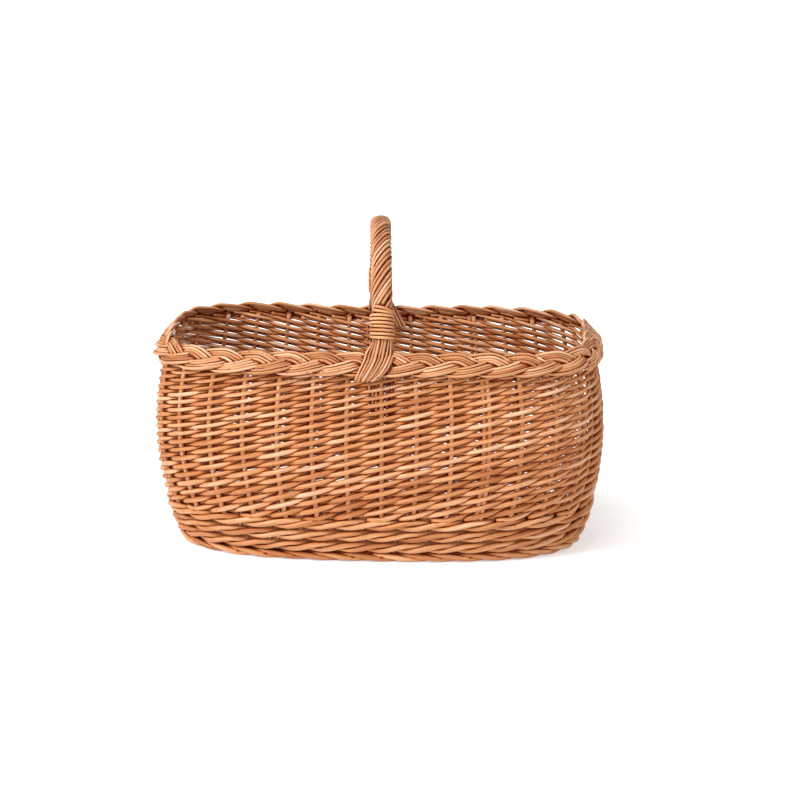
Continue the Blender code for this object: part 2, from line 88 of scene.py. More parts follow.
bpy.ops.mesh.primitive_plane_add(size=FLOOR_SIZE)
floor = bpy.context.object
floor.name = "floor"
paper = bpy.data.materials.new("floor_paper")
paper.use_nodes = True
nodes = paper.node_tree.nodes
links = paper.node_tree.links
shader = nodes["Principled BSDF"]
shader.inputs["Base Color"].default_value = (0.9, 0.9, 0.9, 1)
shader.inputs["Roughness"].default_value = 0.9
shader.inputs["Specular IOR Level"].default_value = 0.1
shader.inputs["Emission Color"].default_value = (1, 1, 1, 1)
ray = nodes.new("ShaderNodeLightPath")
where = nodes.new("ShaderNodeTexCoord")
away = nodes.new("ShaderNodeVectorMath")
away.operation = "LENGTH"
links.new(where.outputs["Object"], away.inputs[0])
glow = nodes.new("ShaderNodeMapRange")
glow.inputs["From Min"].default_value = FLOOR_GLOW_FROM[0]
glow.inputs["From Max"].default_value = FLOOR_GLOW_FROM[1]
glow.inputs["To Min"].default_value = FLOOR_GLOW[0]
glow.inputs["To Max"].default_value = FLOOR_GLOW[1]
links.new(away.outputs["Value"], glow.inputs["Value"])
seen = nodes.new("ShaderNodeMath")
seen.operation = "MULTIPLY"
links.new(ray.outputs["Is Camera Ray"], seen.inputs[0])
links.new(glow.outputs["Result"], seen.inputs[1])
links.new(seen.outputs[0], shader.inputs["Emission Strength"])
floor.data.materials.append(paper)

world = bpy.data.worlds.new("studio")
bpy.context.scene.world = world
world.use_nodes = True
nodes = world.node_tree.nodes
links = world.node_tree.links
sky = nodes["Background"]
sky.inputs["Color"].default_value = (1, 1, 1, 1)
ray = nodes.new("ShaderNodeLightPath")
level = nodes.new("ShaderNodeMapRange")
level.inputs["To Min"].default_value = WORLD_LEVEL
level.inputs["To Max"].default_value = 1.0
links.new(ray.outputs["Is Camera Ray"], level.inputs["Value"])
links.new(level.outputs["Result"], sky.inputs["Strength"])

for name, light in LIGHTS.items():
    lamp = bpy.data.lights.new(name, "AREA")
    lamp.shape = "SQUARE"
    lamp.size = light["size"]
    lamp.energy = light["watts"]
    holder = bpy.data.objects.new(name, lamp)
    bpy.context.scene.collection.objects.link(holder)
    holder.location = light["place"]
    holder.rotation_euler = (CAMERA_AIM - holder.location).to_track_quat("-Z", "Y").to_euler()
bpy.context.scene.view_settings.view_transform = "Standard"

# Stakes. Thirty-six peeled willow rods stand all round the base and bulge outwards as they rise.
# Two of them are doubled. Their tops stand a little higher at both ends and behind than beside
# the handle, and the wall rises with them. Every other rod of the basket is woven round them.
STAKES = 36
STAKE_PHASE_SHARE = 0.25
STAKE_FOOT_RADIUS = 0.0026
STAKE_TOP_RADIUS = 0.0022
STAKE_RINGS = 34
STAKE_SUNK = 0.002
STAKE_TOP = 0.198
STAKE_FORWARD = 0.0008
STAKE_WANDER = 0.0005
DOUBLE_STAKES = (3, 15)
DOUBLE_OFFSET = 0.0023
RIM_RISES = (
    {"round_share": 0.62, "width": 0.07, "rise": 0.0036},
    {"round_share": 0.745, "width": 0.08, "rise": 0.0056},
    {"round_share": 0.41, "width": 0.08, "rise": 0.0025},
    {"round_share": 0.25, "width": 0.06, "rise": 0.0034},
)
BULGE_HEIGHT = 0.118
BULGE_RADIUS = 0.285
BASE_SQUARENESS = 2.7
RIM_SQUARENESS = 4.2
WEAVE_INSET = 0.0071
PLAN_SAMPLES = 720
HEIGHT_DIGITS = 4
ROD_SIDES = 8
WANDER_LENGTH = 0.045
WANDER_APART = 50
THICKNESS_CHANGE_SHARE = 0.07
DICE_SEED = 36

weave_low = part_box("side_weaver_1")[0]
weave_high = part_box("side_weaver_2")[1]
foot_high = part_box("foot_ring")[1]
dice = random.Random(DICE_SEED)
noise.seed_set(DICE_SEED)


@lru_cache(maxsize=None)
def wall_outline(height):
    """The line of stakes at one height: shares of the way round, points and outward normals."""
    inset = WEAVE_INSET + (height - BULGE_HEIGHT) ** 2 / (2 * BULGE_RADIUS)
    half_length = weave_high[0] - inset
    half_depth = weave_high[1] - inset
    squareness = BASE_SQUARENESS + (RIM_SQUARENESS - BASE_SQUARENESS) * height / weave_high[2]
    angles = np.linspace(-math.pi / 2, 3 * math.pi / 2, PLAN_SAMPLES + 1)
    across = np.abs(np.cos(angles) / half_length) ** squareness
    along = np.abs(np.sin(angles) / half_depth) ** squareness
    radius = (across + along) ** (-1 / squareness)
    points = np.stack([radius * np.cos(angles), radius * np.sin(angles)], axis=1)
    steps = np.linalg.norm(np.diff(points, axis=0), axis=1)
    shares = np.concatenate([[0], np.cumsum(steps) / steps.sum()])
    tangents = np.gradient(points, axis=0)
    tangents /= np.linalg.norm(tangents, axis=1, keepdims=True)
    return shares, points, np.stack([tangents[:, 1], -tangents[:, 0]], axis=1)


def share_round(stake):
    """The share of the way round at which a stake stands, counted from the middle of the front."""
    return (stake + STAKE_PHASE_SHARE) / STAKES % 1


def outward(stake, height):
    """The wall's outward direction beside a stake, which may be a fraction between two."""
    shares, _, normals = wall_outline(round(height, HEIGHT_DIGITS))
    flat = [float(np.interp(share_round(stake), shares, normals[:, k])) for k in (0, 1)]
    return Vector(flat + [0]).normalized()


def at_wall(stake, height, out=0.0):
    """A place that far out from the line of stakes."""
    shares, points, _ = wall_outline(round(height, HEIGHT_DIGITS))
    flat = [float(np.interp(share_round(stake), shares, points[:, k])) for k in (0, 1)]
    return Vector(flat + [height]) + outward(stake, height) * out


def rim_rise(stake):
    """How far the rim, and the wall with it, stands higher there than beside the handle."""
    total = 0
    for hill in RIM_RISES:
        off = (share_round(stake) - hill["round_share"]) / hill["width"]
        total += hill["rise"] * math.exp(-off ** 2)
    return total


def lay_rod(bundle, path, radii, wander, sides=ROD_SIDES, rod_tone=None):
    """Draws a circle along the path as a rod grows, and adds the rod to its bundle."""
    offset = Vector((dice.random(), dice.random(), dice.random())) * WANDER_APART
    spots = [place + noise.noise_vector(place / WANDER_LENGTH + offset) * wander for place in path]
    last = len(spots) - 1
    seats = []
    reached = [0.0]
    for k, place in enumerate(spots):
        ahead = (spots[min(k + 1, last)] - spots[max(k - 1, 0)]).normalized()
        turn = heading.rotation_difference(ahead) @ turn if k else ahead.to_track_quat("Z", "Y")
        heading = ahead
        swell = 1 + THICKNESS_CHANGE_SHARE * noise.noise(place / WANDER_LENGTH - offset)
        seats.append(Matrix.LocRotScale(place, turn, Vector((1, 1, 1)) * radii[k] * swell))
        if k:
            reached.append(reached[-1] + (place - spots[k - 1]).length)
    grown = bmesh.new()
    lie = grown.verts.layers.float_vector.new("lie")
    tone = grown.verts.layers.float.new("tone")
    rod_tone = dice.random() if rod_tone is None else rod_tone
    made = bmesh.ops.create_circle(grown, cap_ends=True, segments=sides, radius=1, matrix=seats[0])
    for k, corner in enumerate(made["verts"]):
        angle = 2 * math.pi * k / sides
        corner[lie] = Vector((math.cos(angle), math.sin(angle), 0)) * radii[0]
        corner[tone] = rod_tone
    edges = grown.edges[:]
    for k in range(1, len(seats)):
        made = bmesh.ops.extrude_edge_only(grown, edges=edges)["geom"]
        ring = [part for part in made if isinstance(part, bmesh.types.BMVert)]
        edges = [part for part in made if isinstance(part, bmesh.types.BMEdge) and part.is_boundary]
        bmesh.ops.transform(grown, matrix=seats[k] @ seats[k - 1].inverted(), verts=ring)
        for corner in ring:
            corner[lie] = Vector((corner[lie].x, corner[lie].y, reached[k]))
    bmesh.ops.edgeloop_fill(grown, edges=edges)
    bmesh.ops.recalc_face_normals(grown, faces=grown.faces)
    for face in grown.faces:
        face.smooth = len(face.verts) == 4
    mesh = bpy.data.meshes.new("rod")
    grown.to_mesh(mesh)
    grown.free()
    bundle.from_mesh(mesh)
    bpy.data.meshes.remove(mesh)


def new_bundle():
    """An empty mesh that rods are added to, with the two values that their grain follows."""
    bundle = bmesh.new()
    bundle.verts.layers.float_vector.new("lie")
    bundle.verts.layers.float.new("tone")
    return bundle


def tie_bundle(bundle, name, material, slot, *nodes):
    """Turns a bundle into one piece of the basket that stands for these nodes."""
    mesh = bpy.data.meshes.new(name)
    bundle.to_mesh(mesh)
    bundle.free()
    piece = bpy.data.objects.new(name, mesh)
    bpy.context.scene.collection.objects.link(piece)
    mesh.materials.append(material)
    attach(piece, "root")
    if nodes:
        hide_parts(*nodes)


FIBRE_SCALE = (2200, 2200, 60)
PATCH_SCALE = (260, 260, 22)
BUD_SCALE = (500, 500, 260)
PATTERN_ROUGHNESS = 0.6
TONE_APART = 97
TONE_REACH = 0.32
FIBRE_REACH = 0.16
# Painted shade: colours multiplied into the willow where other rods close off its corners, first a light
# reddening, then a deep dark.
NOOK_PAINTED_SHADES = (
    {"from": 0.06, "to": 0.36, "colour": (1, 0.78, 0.46, 1)},
    {"from": 0.24, "to": 0.62, "colour": (0.30, 0.055, 0.008, 1)},
)


def willow_grain():
    """The look of a peeled rod: long fibres, broad patches, a few buds, a tone of its own, and painted
    shade in its nooks.
    """
    group = bpy.data.node_groups.new("willow_grain", "ShaderNodeTree")
    sockets = (
        ("Lie", "INPUT", "NodeSocketVector"),
        ("Tone", "INPUT", "NodeSocketFloat"),
        ("Nook", "INPUT", "NodeSocketFloat"),
        ("Pale", "INPUT", "NodeSocketColor"),
        ("Ripe", "INPUT", "NodeSocketColor"),
        ("Deep", "INPUT", "NodeSocketColor"),
        ("Colour", "OUTPUT", "NodeSocketColor"),
        ("Roughness", "OUTPUT", "NodeSocketFloat"),
        ("Height", "OUTPUT", "NodeSocketFloat"),
    )
    for socket, way, kind in sockets:
        group.interface.new_socket(socket, in_out=way, socket_type=kind)
    nodes = group.nodes
    links = group.links
    given = nodes.new("NodeGroupInput")
    handed = nodes.new("NodeGroupOutput")

    def stretched(scale, detail, shift):
        """Noise stretched along the rods, which starts anew on each of them."""
        grain = nodes.new("ShaderNodeVectorMath")
        grain.operation = "MULTIPLY"
        grain.inputs[1].default_value = scale
        links.new(given.outputs["Lie"], grain.inputs[0])
        spread = nodes.new("ShaderNodeMath")
        spread.operation = "MULTIPLY_ADD"
        spread.inputs[1].default_value = TONE_APART
        spread.inputs[2].default_value = shift
        links.new(given.outputs["Tone"], spread.inputs[0])
        pattern = nodes.new("ShaderNodeTexNoise")
        pattern.noise_dimensions = "4D"
        pattern.inputs["Scale"].default_value = 1
        pattern.inputs["Detail"].default_value = detail
        pattern.inputs["Roughness"].default_value = PATTERN_ROUGHNESS
        links.new(grain.outputs[0], pattern.inputs["Vector"])
        links.new(spread.outputs[0], pattern.inputs["W"])
        return pattern.outputs["Fac"]

    def ranged(value, low, high, to_low=0.0, to_high=1.0):
        """The value with its range from low to high laid on another range."""
        spread = nodes.new("ShaderNodeMapRange")
        spread.inputs["From Min"].default_value = low
        spread.inputs["From Max"].default_value = high
        spread.inputs["To Min"].default_value = to_low
        spread.inputs["To Max"].default_value = to_high
        links.new(value, spread.inputs["Value"])
        return spread.outputs["Result"]

    def summed(first, second):
        """Two values added up."""
        total = nodes.new("ShaderNodeMath")
        total.operation = "ADD"
        links.new(first, total.inputs[0])
        links.new(second, total.inputs[1])
        return total.outputs[0]

    def mixed(share, first, second):
        """The first colour, with that share of the second."""
        blend = nodes.new("ShaderNodeMix")
        blend.data_type = "RGBA"
        links.new(share, blend.inputs["Factor"])
        links.new(first, blend.inputs["A"])
        links.new(second, blend.inputs["B"])
        return blend.outputs["Result"]

    fibres = stretched(FIBRE_SCALE, detail=3, shift=0)
    patches = stretched(PATCH_SCALE, detail=2, shift=11)
    buds = stretched(BUD_SCALE, detail=0, shift=23)
    own_tone = ranged(given.outputs["Tone"], 0, 1, -TONE_REACH, TONE_REACH)
    shade = summed(own_tone, ranged(patches, 0.3, 0.7, 0.1, 0.9))
    shade = summed(shade, ranged(fibres, 0.3, 0.7, -FIBRE_REACH, FIBRE_REACH))
    colour = mixed(ranged(shade, 0, 0.5), given.outputs["Pale"], given.outputs["Ripe"])
    colour = mixed(ranged(shade, 0.5, 1.1), colour, given.outputs["Deep"])
    colour = mixed(ranged(buds, 0.76, 0.82), colour, given.outputs["Deep"])
    # Painted shade: the colour is darkened and reddened in two steps by how much the other rods close off
    # each corner.
    for painted_shade in NOOK_PAINTED_SHADES:
        painted_shade_mix = nodes.new("ShaderNodeMix")
        painted_shade_mix.data_type = "RGBA"
        painted_shade_mix.blend_type = "MULTIPLY"
        painted_shade_mix.inputs["B"].default_value = painted_shade["colour"]
        nook = ranged(given.outputs["Nook"], painted_shade["from"], painted_shade["to"])
        links.new(nook, painted_shade_mix.inputs["Factor"])
        links.new(colour, painted_shade_mix.inputs["A"])
        colour = painted_shade_mix.outputs["Result"]
    links.new(colour, handed.inputs["Colour"])
    links.new(ranged(fibres, 0.25, 0.75, 0.36, 0.54), handed.inputs["Roughness"])
    raised = summed(ranged(fibres, 0.2, 0.8, 0, 0.7), ranged(buds, 0.7, 0.82, 0, 0.6))
    links.new(raised, handed.inputs["Height"])
    return group


GRAIN = willow_grain()


def willow(name, pale, ripe, deep, coat=0.08, nook_shade_share=1.0):
    """Peeled willow in three of its colours, with a satin skin, and painted shade in its nooks at that
    share.
    """
    material = bpy.data.materials.new(name)
    material.use_nodes = True
    nodes = material.node_tree.nodes
    links = material.node_tree.links
    shader = nodes["Principled BSDF"]
    shader.inputs["Coat Weight"].default_value = coat
    shader.inputs["Coat Roughness"].default_value = 0.32
    shader.inputs["Specular IOR Level"].default_value = 0.28
    grain = nodes.new("ShaderNodeGroup")
    grain.node_tree = GRAIN
    for socket, colour in (("Pale", pale), ("Ripe", ripe), ("Deep", deep)):
        grain.inputs[socket].default_value = (*colour, 1)
    readers = {}
    for layer in ("lie", "tone", "nook"):
        readers[layer] = nodes.new("ShaderNodeAttribute")
        readers[layer].attribute_name = layer
    # Painted shade: how much other rods close off each corner, scaled by this willow's share.
    nooks = nodes.new("ShaderNodeMath")
    nooks.operation = "MULTIPLY"
    nooks.inputs[1].default_value = nook_shade_share
    links.new(readers["nook"].outputs["Fac"], nooks.inputs[0])
    links.new(nooks.outputs[0], grain.inputs["Nook"])
    links.new(readers["lie"].outputs["Vector"], grain.inputs["Lie"])
    links.new(readers["tone"].outputs["Fac"], grain.inputs["Tone"])
    bump = nodes.new("ShaderNodeBump")
    bump.inputs["Strength"].default_value = 0.35
    bump.inputs["Distance"].default_value = 0.0003
    links.new(grain.outputs["Height"], bump.inputs["Height"])
    links.new(bump.outputs["Normal"], shader.inputs["Normal"])
    links.new(grain.outputs["Colour"], shader.inputs["Base Color"])
    links.new(grain.outputs["Roughness"], shader.inputs["Roughness"])
    return material


# The stakes take only a little of the painted shade in their nooks, so that they stand out pale between
# the rods.
stake_willow = willow(
    "stake_willow",
    pale=(0.82, 0.46, 0.25),
    ripe=(0.66, 0.30, 0.13),
    deep=(0.42, 0.145, 0.05),
    nook_shade_share=0.35,
)

bundle = new_bundle()
for stake in range(STAKES):
    twins = (-DOUBLE_OFFSET, DOUBLE_OFFSET) if stake in DOUBLE_STAKES else (0,)
    for beside in twins:
        path = []
        radii = []
        for k in range(STAKE_RINGS + 1):
            share = k / STAKE_RINGS
            length = STAKE_TOP + rim_rise(stake) - foot_high[2]
            height = foot_high[2] - STAKE_SUNK + length * share
            along = Vector((0, 0, 1)).cross(outward(stake, height))
            path.append(at_wall(stake, height, STAKE_FORWARD) + along * beside)
            radii.append(STAKE_FOOT_RADIUS + (STAKE_TOP_RADIUS - STAKE_FOOT_RADIUS) * share)
        lay_rod(bundle, path, radii, STAKE_WANDER)
stake_nodes = [f"stake_{k + 1:02d}" for k in range(STAKES)]
tie_bundle(bundle, "stakes", stake_willow, "stake_willow", *stake_nodes)

# Side weave. Two rods start in every space, butt end first. Each goes in front of one stake and
# behind the next, climbs two rows at every stake and thins towards its tip, nineteen stakes on.
SIDE_ROWS = 38
SIDE_ROD_STAKES = SIDE_ROWS // 2
SIDE_POINTS = 8
SIDE_BUTT_RADIUS = 0.00255
SIDE_TIP_RADIUS = 0.00168
SIDE_STOUTNESS = (0.93, 1.08)
SIDE_LOWEST_STEP = 0.00466
SIDE_ROW_SHRINK = 0.000019
SIDE_BUTT_STAKES = 0.42
SIDE_TIP_STAKES = 0.3
SIDE_TIP_TUCKED = 0.45
SIDE_BELOW_STEP = 0.0004
SIDE_DROP = 0.0030
SIDE_LIFT = 0.0002
SIDE_RISE_SHARE = 1.3
SIDE_PRESSED_SHARE = 0.71
SIDE_WANDER = 0.0004
BEND_SHARPNESS = 0.18

side_willow = willow(
    "side_willow",
    pale=(0.84, 0.525, 0.34),
    ripe=(0.67, 0.288, 0.113),
    deep=(0.41, 0.125, 0.033),
)


def side_row_height(row):
    """How high a row lies. Rows close up a little upwards, and butts below the first lie level."""
    if row < 0:
        return weave_low[2] - SIDE_DROP + SIDE_BELOW_STEP * row
    return weave_low[2] - SIDE_DROP + SIDE_LOWEST_STEP * row - SIDE_ROW_SHRINK * row * row


def bent(phase):
    """A rod's swing from +1 outside one stake to -1 inside the next, a little squarer than a wave."""
    wave = math.cos(math.pi * phase)
    return wave * (1 + BEND_SHARPNESS * (1 - wave * wave))


bundles = [new_bundle(), new_bundle()]
for start in range(STAKES):
    for parity in (0, 1):
        path = []
        radii = []
        first_side = 1 if (start + parity) % 2 == 0 else -1
        lift = dice.uniform(-SIDE_LIFT, SIDE_LIFT)
        stout = dice.uniform(*SIDE_STOUTNESS)
        past = -SIDE_TIP_TUCKED if first_side > 0 else SIDE_TIP_STAKES - parity / 2
        for step in range(round((SIDE_BUTT_STAKES + SIDE_ROD_STAKES + past) * SIDE_POINTS) + 1):
            stakes_on = step / SIDE_POINTS - SIDE_BUTT_STAKES
            row = 2 * stakes_on + parity
            share = min(max(row / SIDE_ROWS, 0), 1)
            radius = (SIDE_BUTT_RADIUS + (SIDE_TIP_RADIUS - SIDE_BUTT_RADIUS) * share) * stout
            stake_radius = STAKE_FOOT_RADIUS + (STAKE_TOP_RADIUS - STAKE_FOOT_RADIUS) * share
            out = first_side * bent(stakes_on) * (stake_radius + radius) * SIDE_PRESSED_SHARE
            rise = rim_rise(start + stakes_on) * SIDE_RISE_SHARE * share ** 2
            path.append(at_wall(start + stakes_on, side_row_height(row) + lift + rise, out))
            radii.append(radius)
        lay_rod(bundles[start % 2], path, radii, SIDE_WANDER)
tie_bundle(bundles[0], "side_rods_even", side_willow, "side_willow", "side_weaver_1")
tie_bundle(bundles[1], "side_rods_odd", side_willow, "side_willow", "side_weaver_2")

# Waling. Above the foot, three rounds of waling hold the stakes apart. Each of its three rods goes
# in front of two stakes and behind one, where it is a little stouter, and lies under the next rod
# as it comes out.
WALE_ROUNDS = 3
WALE_RODS = 3
WALE_ROUND_SHIFT = 5
WALE_ROW = 0.0062
WALE_RADIUS = 0.00272
WALE_STOUTNESS = (0.9, 1.06)
WALE_STOUTER_SHARE = 0.3
WALE_FIRST_HEIGHT = 0.0126
WALE_RISE_SHARES = (0.04, 0.96, 0.5)
WALE_POINTS = 6
WALE_ROD_STROKES = 6
WALE_START_STAKES = 0.7
WALE_LAP_POINTS = 5
WALE_FORWARD = 0.0006
WALE_PRESSED_SHARE = 0.84
WALE_WANDER = 0.0004

wale_willow = willow(
    "wale_willow",
    pale=(0.86, 0.535, 0.345),
    ripe=(0.70, 0.32, 0.135),
    deep=(0.42, 0.13, 0.038),
)


def between(before, here, after, beyond, share):
    """A place on the smooth course from one mark to the next."""
    slope = after - before
    bend = 2 * before - 5 * here + 4 * after - beyond
    twist = 3 * here - before - 3 * after + beyond
    return 0.5 * (2 * here + slope * share + bend * share ** 2 + twist * share ** 3)


def along_marks(marks, place):
    """Reads a smooth course through marks that repeat."""
    low = math.floor(place)
    near = [np.array(marks[(low + k) % len(marks)]) for k in (-1, 0, 1, 2)]
    return between(*near, place - low)


bundle = new_bundle()
wale_swing = (STAKE_FOOT_RADIUS + WALE_RADIUS) * WALE_PRESSED_SHARE
wale_outs = (wale_swing + WALE_FORWARD, wale_swing, -wale_swing)
wale_marks = tuple(zip(wale_outs, WALE_RISE_SHARES))
wale_steps = (WALE_RODS * WALE_ROD_STROKES - 1) * WALE_POINTS + WALE_LAP_POINTS
for round_number in range(WALE_ROUNDS):
    for weaver in range(WALE_RODS):
        for strokes_on in range(0, STAKES // WALE_RODS, WALE_ROD_STROKES):
            first = weaver + WALE_RODS * strokes_on + WALE_ROUND_SHIFT * round_number
            path = []
            radii = []
            stout = dice.uniform(*WALE_STOUTNESS)
            for step in range(wale_steps):
                stakes_on = step / WALE_POINTS - WALE_START_STAKES
                out, row = along_marks(wale_marks, stakes_on)
                height = WALE_FIRST_HEIGHT + WALE_ROW * (2 * round_number + row)
                path.append(at_wall(first + stakes_on, height, float(out)))
                inside = max(-float(out) / wale_swing, 0)
                radii.append(WALE_RADIUS * stout * (1 + WALE_STOUTER_SHARE * inside))
            lay_rod(bundle, path, radii, WALE_WANDER)
tie_bundle(bundle, "waling_rods", wale_willow, "wale_willow", "wale_1", "wale_2", "wale_3")

# Foot border. The lower ends of the stakes are turned down and twisted round each other into a
# border that the basket stands on, each running over three stakes and ending on the inside.
FOOT_ROD_RADIUS = 0.0028
FOOT_STOUTNESS = (0.94, 1.03)
FOOT_TWIST_OUT = 0.0033
FOOT_TWIST_UP = 0.0022
FOOT_CLEARANCE = 0.0002
FOOT_POINTS = 8
FOOT_TURN_STAKES = 3
FOOT_LAP_STAKES = 0.1
FOOT_LAP_POINTS = 3
FOOT_WANDER = 0.0002

foot_willow = willow(
    "foot_willow",
    pale=(0.84, 0.46, 0.24),
    ripe=(0.68, 0.30, 0.125),
    deep=(0.42, 0.14, 0.045),
)

bundle = new_bundle()
foot_middle = FOOT_TWIST_UP + FOOT_ROD_RADIUS + FOOT_CLEARANCE
for start in range(STAKES):
    path = []
    for step in range(FOOT_TURN_STAKES * FOOT_POINTS + FOOT_LAP_POINTS):
        stakes_on = step / FOOT_POINTS - FOOT_LAP_STAKES
        angle = math.pi - 2 * math.pi * stakes_on / FOOT_TURN_STAKES
        place = at_wall(start + stakes_on, foot_high[2], FOOT_TWIST_OUT * math.cos(angle))
        place.z = foot_middle + FOOT_TWIST_UP * math.sin(angle)
        path.append(place)
    stout = dice.uniform(*FOOT_STOUTNESS)
    lay_rod(bundle, path, [FOOT_ROD_RADIUS * stout] * len(path), FOOT_WANDER)
tie_bundle(bundle, "foot_border_rods", foot_willow, "foot_willow", "foot_ring")

# Base. Rods are woven across the basket, over and under its three long sticks, and cut off in the
# waling. Three stouter sticks cross below them, and a rod over one of those lies straight on top.
BASE_STICKS = (1, 2, 3)
BASE_ROD_RADIUS = 0.00215
BASE_ROD_STOUTNESS = (0.96, 1.06)
BASE_ROD_STEP = 0.0039
BASE_ROD_POINTS = 30
BASE_ROD_SIDES = 6
BASE_ROD_WANDER = 0.0002
BASE_SWING = 0.0034
BASE_REACH = 0.0065
STICK_POINTS = 20
STICK_WANDER = 0.0003
CROSS_STICK_LIFT = 0.0005

base_willow = willow(
    "base_willow",
    pale=(0.66, 0.33, 0.165),
    ripe=(0.52, 0.215, 0.09),
    deep=(0.31, 0.10, 0.037),
)


def node_middle(node):
    """The middle of the box round a node."""
    low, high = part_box(node)
    return [(low[k] + high[k]) / 2 for k in range(3)]


long_middles = [node_middle(f"base_long_stick_{k}")[1] for k in BASE_STICKS]
cross_middles = [node_middle(f"base_cross_stick_{k}")[0] for k in BASE_STICKS]
stick_spacing = long_middles[1] - long_middles[0]
stick_height = node_middle("base_long_stick_1")[2]

bundle = new_bundle()
base_reach = [high + BASE_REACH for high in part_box("base_weave")[1]]
count = int((base_reach[0] - BASE_ROD_RADIUS) / BASE_ROD_STEP)
for k in range(-count, count + 1):
    x = k * BASE_ROD_STEP
    over_stick = min(abs(x - middle) for middle in cross_middles) < BASE_ROD_STEP / 2
    half = base_reach[1] * (1 - abs(x / base_reach[0]) ** BASE_SQUARENESS) ** (1 / BASE_SQUARENESS)
    first_side = 1 if k % 2 else -1
    path = []
    for step in range(BASE_ROD_POINTS + 1):
        y = -half + 2 * half * step / BASE_ROD_POINTS
        side = math.cos(math.pi * (y - long_middles[1]) / stick_spacing) * first_side
        if over_stick:
            side = 1
        path.append(Vector((x, y, stick_height + side * BASE_SWING)))
    radii = [BASE_ROD_RADIUS * dice.uniform(*BASE_ROD_STOUTNESS)] * len(path)
    lay_rod(bundle, path, radii, BASE_ROD_WANDER, sides=BASE_ROD_SIDES)
tie_bundle(bundle, "base_rods", base_willow, "base_willow", "base_weave")

bundle = new_bundle()
for k in BASE_STICKS:
    for way, along, across, lift in (("long", 0, 1, 0), ("cross", 1, 0, CROSS_STICK_LIFT)):
        low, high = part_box(f"base_{way}_stick_{k}")
        path = []
        for step in range(STICK_POINTS + 1):
            place = Vector(node_middle(f"base_{way}_stick_{k}"))
            place[along] = low[along] + (high[along] - low[along]) * step / STICK_POINTS
            place.z += lift
            path.append(place)
        radii = [(high[across] - low[across]) / 2] * len(path)
        lay_rod(bundle, path, radii, STICK_WANDER)
sticks = [f"base_{way}_stick_{k}" for way in ("long", "cross") for k in BASE_STICKS]
tie_bundle(bundle, "base_sticks", base_willow, "base_willow", *sticks)

# Top border. The stakes' tops and added rods are plaited into three flat strands of four rods
# each. The band leans outwards over the wall. A strand rises slowly to its inner edge, over one
# strand and under the next, then drops back over one and under one within a single space.
PLAIT_STRANDS = 3
PLAIT_RODS = 4
PLAIT_ROD_RADIUS = 0.00163
PLAIT_STOUTNESS = (0.9, 1.05)
PLAIT_ROD_STEP = 0.0031
PLAIT_GATHER_SHARE = 0.12
PLAIT_SLIP = 0.12
PLAIT_SWING = 0.0079
PLAIT_LIFT = 0.0021
PLAIT_LEAN = math.radians(46)
PLAIT_OUT = 0.0045
PLAIT_LEFT_OUT = 0.0015
PLAIT_HEIGHT = 0.1985
PLAIT_MARKS_A_STAKE = 3
PLAIT_COURSE_SHARES = (
    (0.72, -0.8),
    (1, 0),
    (0.88, 0.8),
    (0.46, 0.8),
    (-0.2, -0.5),
    (-0.8, -0.8),
    (-1, -0.2),
    (-0.84, 0.9),
    (-0.18, 0.3),
)
PLAIT_AHEAD_MARKS = 0.1
PLAIT_STEPS = 3
PLAIT_ROD_MARKS = 27
PLAIT_ROD_LATER = 9
PLAIT_END_MARK = 7.7
PLAIT_END_LAP = 0.6
PLAIT_WANDER = 0.0004

plait_willow = willow(
    "plait_willow",
    pale=(0.81, 0.51, 0.33),
    ripe=(0.62, 0.29, 0.13),
    deep=(0.37, 0.118, 0.036),
    nook_shade_share=1.25,
)


def on_plait(stake, sideways, lift):
    """A place in the plait's leaning band: sideways down its outer face, and lifted off that face."""
    leftness = max(-outward(stake, PLAIT_HEIGHT).x, 0) ** 3
    out = PLAIT_OUT + PLAIT_LEFT_OUT * leftness
    out += sideways * math.cos(PLAIT_LEAN) + lift * math.sin(PLAIT_LEAN)
    up = lift * math.cos(PLAIT_LEAN) - sideways * math.sin(PLAIT_LEAN)
    return at_wall(stake, PLAIT_HEIGHT, out) + Vector((0, 0, up + rim_rise(stake)))


def strand_middle(strand, mark):
    """Where the middle of a strand lies at a mark of its course."""
    sideways, lift = along_marks(PLAIT_COURSE_SHARES, mark)
    return on_plait(strand + mark / PLAIT_MARKS_A_STAKE, sideways * PLAIT_SWING, lift * PLAIT_LIFT)


def strand_place(strand, mark, beside):
    """Where a rod of a strand lies, that many rods beside the strand's middle."""
    place = strand_middle(strand, mark)
    ahead = strand_middle(strand, mark + PLAIT_AHEAD_MARKS) - place
    stake = strand + mark / PLAIT_MARKS_A_STAKE
    face = outward(stake, PLAIT_HEIGHT) * math.sin(PLAIT_LEAN) + Vector((0, 0, math.cos(PLAIT_LEAN)))
    gather = 1 - PLAIT_GATHER_SHARE * abs(along_marks(PLAIT_COURSE_SHARES, mark)[0]) ** 2
    return place + face.cross(ahead).normalized() * PLAIT_ROD_STEP * beside * gather


